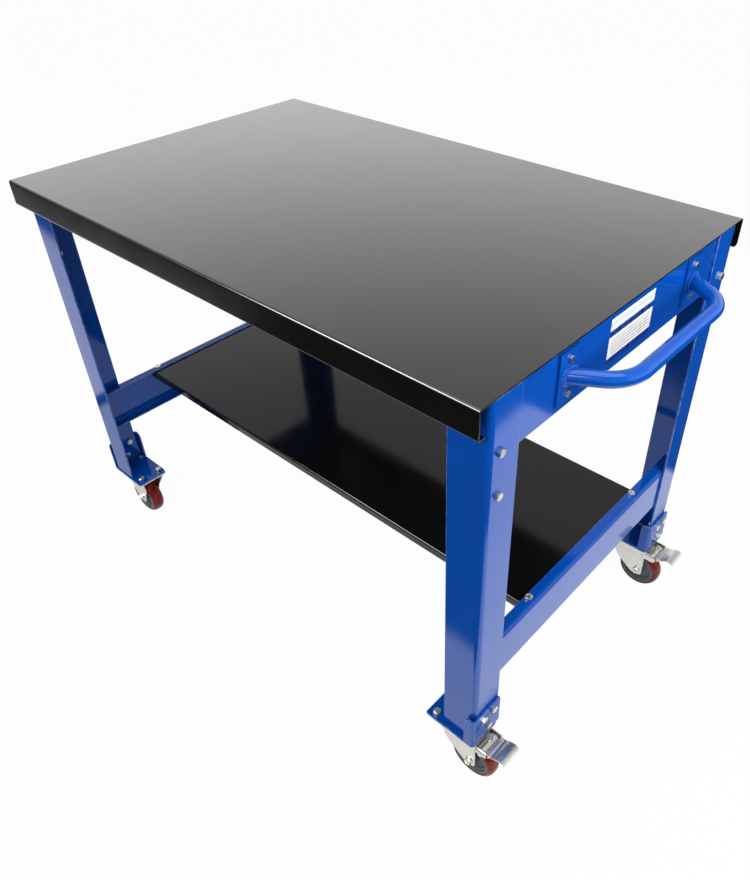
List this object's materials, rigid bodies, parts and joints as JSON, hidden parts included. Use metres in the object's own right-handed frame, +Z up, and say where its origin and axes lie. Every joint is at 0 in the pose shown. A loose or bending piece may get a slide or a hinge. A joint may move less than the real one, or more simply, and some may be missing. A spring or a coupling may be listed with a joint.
{
  "type": "mobile workbench",
  "caption": "Mobile steel workbench with a flat folded top, angle legs, a lower shelf, a push handle at one end, fixed casters and swivel casters with brakes.",
  "frame": {"origin": "middle of the overall box at floor level", "axes": "+X along the bench towards the push handle, +Y from the front to the back, +Z up"},
  "size_m": [1.2968, 0.76, 0.91],
  "materials": {
    "black_powder_coat": "satin black powder coat",
    "blue_powder_coat": "gloss blue powder coat",
    "zinc_plate": "bright zinc plate",
    "red_polyurethane": "smooth dark red polyurethane",
    "grey_nylon": "moulded grey nylon"
  },
  "bodies": {
    "frame": {"bench_top": "black_powder_coat", "top_stiffener": "black_powder_coat", "apron_right": "blue_powder_coat", "lower_rail_right": "blue_powder_coat", "leg_right_front": "blue_powder_coat", "foot_bracket_right_front": "blue_powder_coat", "leg_bolt_right_front_upper": "zinc_plate", "leg_bolt_right_front_lower": "zinc_plate", "shelf_bolt_right_front": "zinc_plate", "leg_right_back": "blue_powder_coat", "foot_bracket_right_back": "blue_powder_coat", "leg_bolt_right_back_upper": "zinc_plate", "leg_bolt_right_back_lower": "zinc_plate", "shelf_bolt_right_back": "zinc_plate", "apron_left": "blue_powder_coat", "lower_rail_left": "blue_powder_coat", "leg_left_front": "blue_powder_coat", "foot_bracket_left_front": "blue_powder_coat", "leg_bolt_left_front_upper": "zinc_plate", "leg_bolt_left_front_lower": "zinc_plate", "shelf_bolt_left_front": "zinc_plate", "leg_left_back": "blue_powder_coat", "foot_bracket_left_back": "blue_powder_coat", "leg_bolt_left_back_upper": "zinc_plate", "leg_bolt_left_back_lower": "zinc_plate", "shelf_bolt_left_back": "zinc_plate", "lower_shelf": "black_powder_coat", "handle_tube": "blue_powder_coat", "handle_pad_front": "blue_powder_coat", "handle_bolt_front_upper": "zinc_plate", "handle_bolt_front_lower": "zinc_plate", "caster_right_front_plate": "zinc_plate", "caster_left_front_fork": "zinc_plate", "caster_left_front_axle": "zinc_plate", "handle_pad_back": "blue_powder_coat", "handle_bolt_back_upper": "zinc_plate", "handle_bolt_back_lower": "zinc_plate", "caster_right_back_plate": "zinc_plate", "caster_left_back_fork": "zinc_plate", "caster_left_back_axle": "zinc_plate"},
    "swivel_front": {"caster_right_front_fork": "zinc_plate", "caster_right_front_race": "zinc_plate", "caster_right_front_pedal_pin": "zinc_plate", "caster_right_front_axle": "zinc_plate"},
    "swivel_back": {"caster_right_back_fork": "zinc_plate", "caster_right_back_race": "zinc_plate", "caster_right_back_pedal_pin": "zinc_plate", "caster_right_back_axle": "zinc_plate"},
    "wheel_right_front": {"caster_right_front_wheel_core": "grey_nylon", "caster_right_front_wheel_tread": "red_polyurethane"},
    "wheel_right_back": {"caster_right_back_wheel_core": "grey_nylon", "caster_right_back_wheel_tread": "red_polyurethane"},
    "wheel_left_front": {"caster_left_front_wheel_core": "grey_nylon", "caster_left_front_wheel_tread": "red_polyurethane"},
    "wheel_left_back": {"caster_left_back_wheel_core": "grey_nylon", "caster_left_back_wheel_tread": "red_polyurethane"},
    "brake_front": {"caster_right_front_brake_pedal": "zinc_plate"},
    "brake_back": {"caster_right_back_brake_pedal": "zinc_plate"}
  },
  "joints": [
    {"name": "swivel_front_turn", "type": "hinge", "parent": "frame", "child": "swivel_front", "pos_m": [0.5092, -0.326, 0.1221], "axis": [0, 0, 1], "continuous": true},
    {"name": "swivel_back_turn", "type": "hinge", "parent": "frame", "child": "swivel_back", "pos_m": [0.5092, 0.316, 0.1221], "axis": [0, 0, 1], "continuous": true},
    {"name": "wheel_right_front_roll", "type": "hinge", "parent": "swivel_front", "child": "wheel_right_front", "pos_m": [0.5467, -0.326, 0.05], "axis": [0, 1, 0], "continuous": true},
    {"name": "wheel_right_back_roll", "type": "hinge", "parent": "swivel_back", "child": "wheel_right_back", "pos_m": [0.5467, 0.316, 0.05], "axis": [0, 1, 0], "continuous": true},
    {"name": "wheel_left_front_roll", "type": "hinge", "parent": "frame", "child": "wheel_left_front", "pos_m": [-0.5858, -0.316, 0.05], "axis": [0, 1, 0], "continuous": true},
    {"name": "wheel_left_back_roll", "type": "hinge", "parent": "frame", "child": "wheel_left_back", "pos_m": [-0.5858, 0.326, 0.05], "axis": [0, 1, 0], "continuous": true},
    {"name": "brake_front_press", "type": "hinge", "parent": "swivel_front", "child": "brake_front", "pos_m": [0.5742, -0.326, 0.1082], "axis": [0, 1, 0], "range_deg": [0, 18]},
    {"name": "brake_back_press", "type": "hinge", "parent": "swivel_back", "child": "brake_back", "pos_m": [0.5742, 0.316, 0.1082], "axis": [0, 1, 0], "range_deg": [0, 18]}
  ]
}
